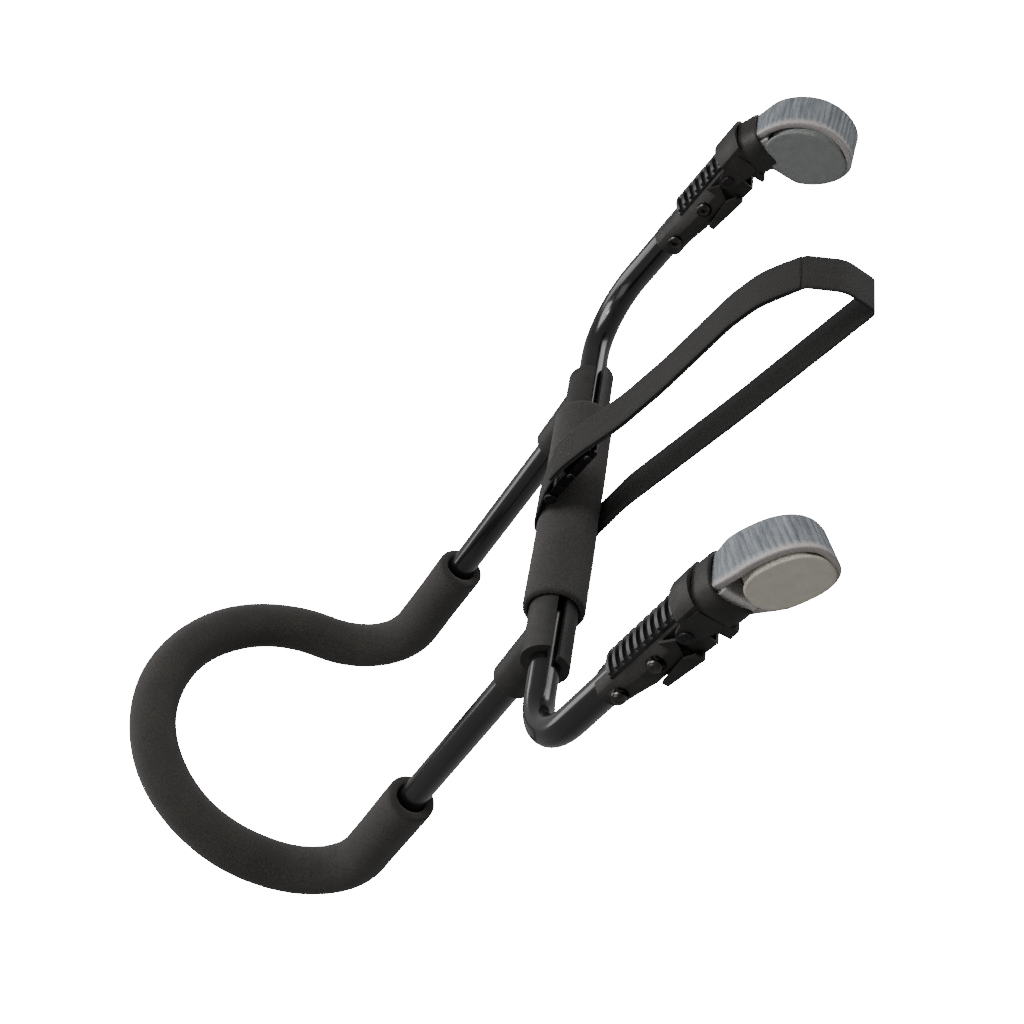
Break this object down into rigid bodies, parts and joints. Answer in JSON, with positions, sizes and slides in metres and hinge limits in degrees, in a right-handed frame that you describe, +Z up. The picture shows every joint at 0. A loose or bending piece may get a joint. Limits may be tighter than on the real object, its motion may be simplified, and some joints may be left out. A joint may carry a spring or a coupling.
{
  "type": "roof ski rack",
  "caption": "Folding tubular ski carrier: two arms with ratcheting rubber clamp loops, a foam-covered crossbar with a cam-buckle strap, and two legs ending in an upturned foam hoop.",
  "frame": {"origin": "middle of the axis that the vehicle's roof bar takes, halfway between the two clamp loops, in the plane of symmetry", "axes": "+X along the crossbar, +Y along the arms from the crossbar to the clamps, +Z up: the side that the hoop stands on and the skis lie on"},
  "size_m": [0.5006, 0.7161, 0.2473],
  "materials": {
    "black_tube": "gloss black powder coat on steel tube",
    "foam": "matt closed-cell foam",
    "webbing": "woven polyester",
    "zinc": "satin zinc",
    "steel": "bright",
    "black_nylon": "fine moulded grain",
    "ladder_nylon": "satin",
    "grey_rubber": "matt, ribbed",
    "pad_rubber": "matt"
  },
  "bodies": {
    "carrier": {"arm_tube": "black_tube", "crossbar_foam": "foam", "strap": "webbing", "buckle_frame": "zinc", "buckle_rear_bar": "steel", "buckle_cam_pin": "steel", "buckle_front_bar": "steel", "buckle_spring": "steel", "right_arm_socket": "black_nylon", "left_arm_socket": "black_nylon", "right_ratchet_housing": "black_nylon", "left_ratchet_housing": "black_nylon", "right_collar": "black_nylon", "left_collar": "black_nylon", "right_ladder_strap": "ladder_nylon", "left_ladder_strap": "ladder_nylon", "right_lock_pawl_pin": "steel", "left_lock_pawl_pin": "steel", "right_lock_pawl_spring": "steel", "left_lock_pawl_spring": "steel", "right_lever_spring": "steel", "left_lever_spring": "steel", "right_cross_bolts": "steel", "left_cross_bolts": "steel", "right_domed_nuts": "steel", "left_domed_nuts": "steel", "right_clamp_band": "grey_rubber", "left_clamp_band": "grey_rubber", "right_band_pad": "pad_rubber", "left_band_pad": "pad_rubber"},
    "legs": {"leg_tube": "black_tube", "hoop_foam": "foam", "right_connector": "black_nylon", "left_connector": "black_nylon", "right_set_screws": "steel", "left_set_screws": "steel"},
    "right_lever": {"right_lever": "black_nylon", "right_lever_pivot_pin": "steel", "right_drive_pawl": "zinc"},
    "left_lever": {"left_lever": "black_nylon", "left_lever_pivot_pin": "steel", "left_drive_pawl": "zinc"},
    "right_lock_pawl": {"right_lock_pawl": "zinc"},
    "left_lock_pawl": {"left_lock_pawl": "zinc"},
    "buckle_cam": {"buckle_cam": "zinc"}
  },
  "joints": [
    {"name": "legs_fold", "type": "hinge", "parent": "carrier", "child": "legs", "pos_m": [0, -0.24, 0.027], "axis": [1, 0, 0], "range_deg": [-170, 20]},
    {"name": "right_lever_pivot", "type": "hinge", "parent": "carrier", "child": "right_lever", "pos_m": [0.229, -0.061, 0.027], "axis": [1, 0, 0], "range_deg": [0, 50], "stiffness_Nm_per_rad": 0.06, "springref_deg": -20.05},
    {"name": "left_lever_pivot", "type": "hinge", "parent": "carrier", "child": "left_lever", "pos_m": [-0.229, -0.061, 0.027], "axis": [1, 0, 0], "range_deg": [0, 50], "stiffness_Nm_per_rad": 0.06, "springref_deg": -20.05},
    {"name": "right_lock_pawl_pivot", "type": "hinge", "parent": "carrier", "child": "right_lock_pawl", "pos_m": [0.229, -0.046, 0.027], "axis": [1, 0, 0], "range_deg": [0, 12], "stiffness_Nm_per_rad": 0.004, "springref_deg": -20.05},
    {"name": "left_lock_pawl_pivot", "type": "hinge", "parent": "carrier", "child": "left_lock_pawl", "pos_m": [-0.229, -0.046, 0.027], "axis": [1, 0, 0], "range_deg": [0, 12], "stiffness_Nm_per_rad": 0.004, "springref_deg": -20.05},
    {"name": "buckle_cam_pivot", "type": "hinge", "parent": "carrier", "child": "buckle_cam", "pos_m": [0, -0.192, 0.0534], "axis": [1, 0, 0], "range_deg": [-28, 0], "stiffness_Nm_per_rad": 0.02, "springref_deg": 28.65}
  ]
}
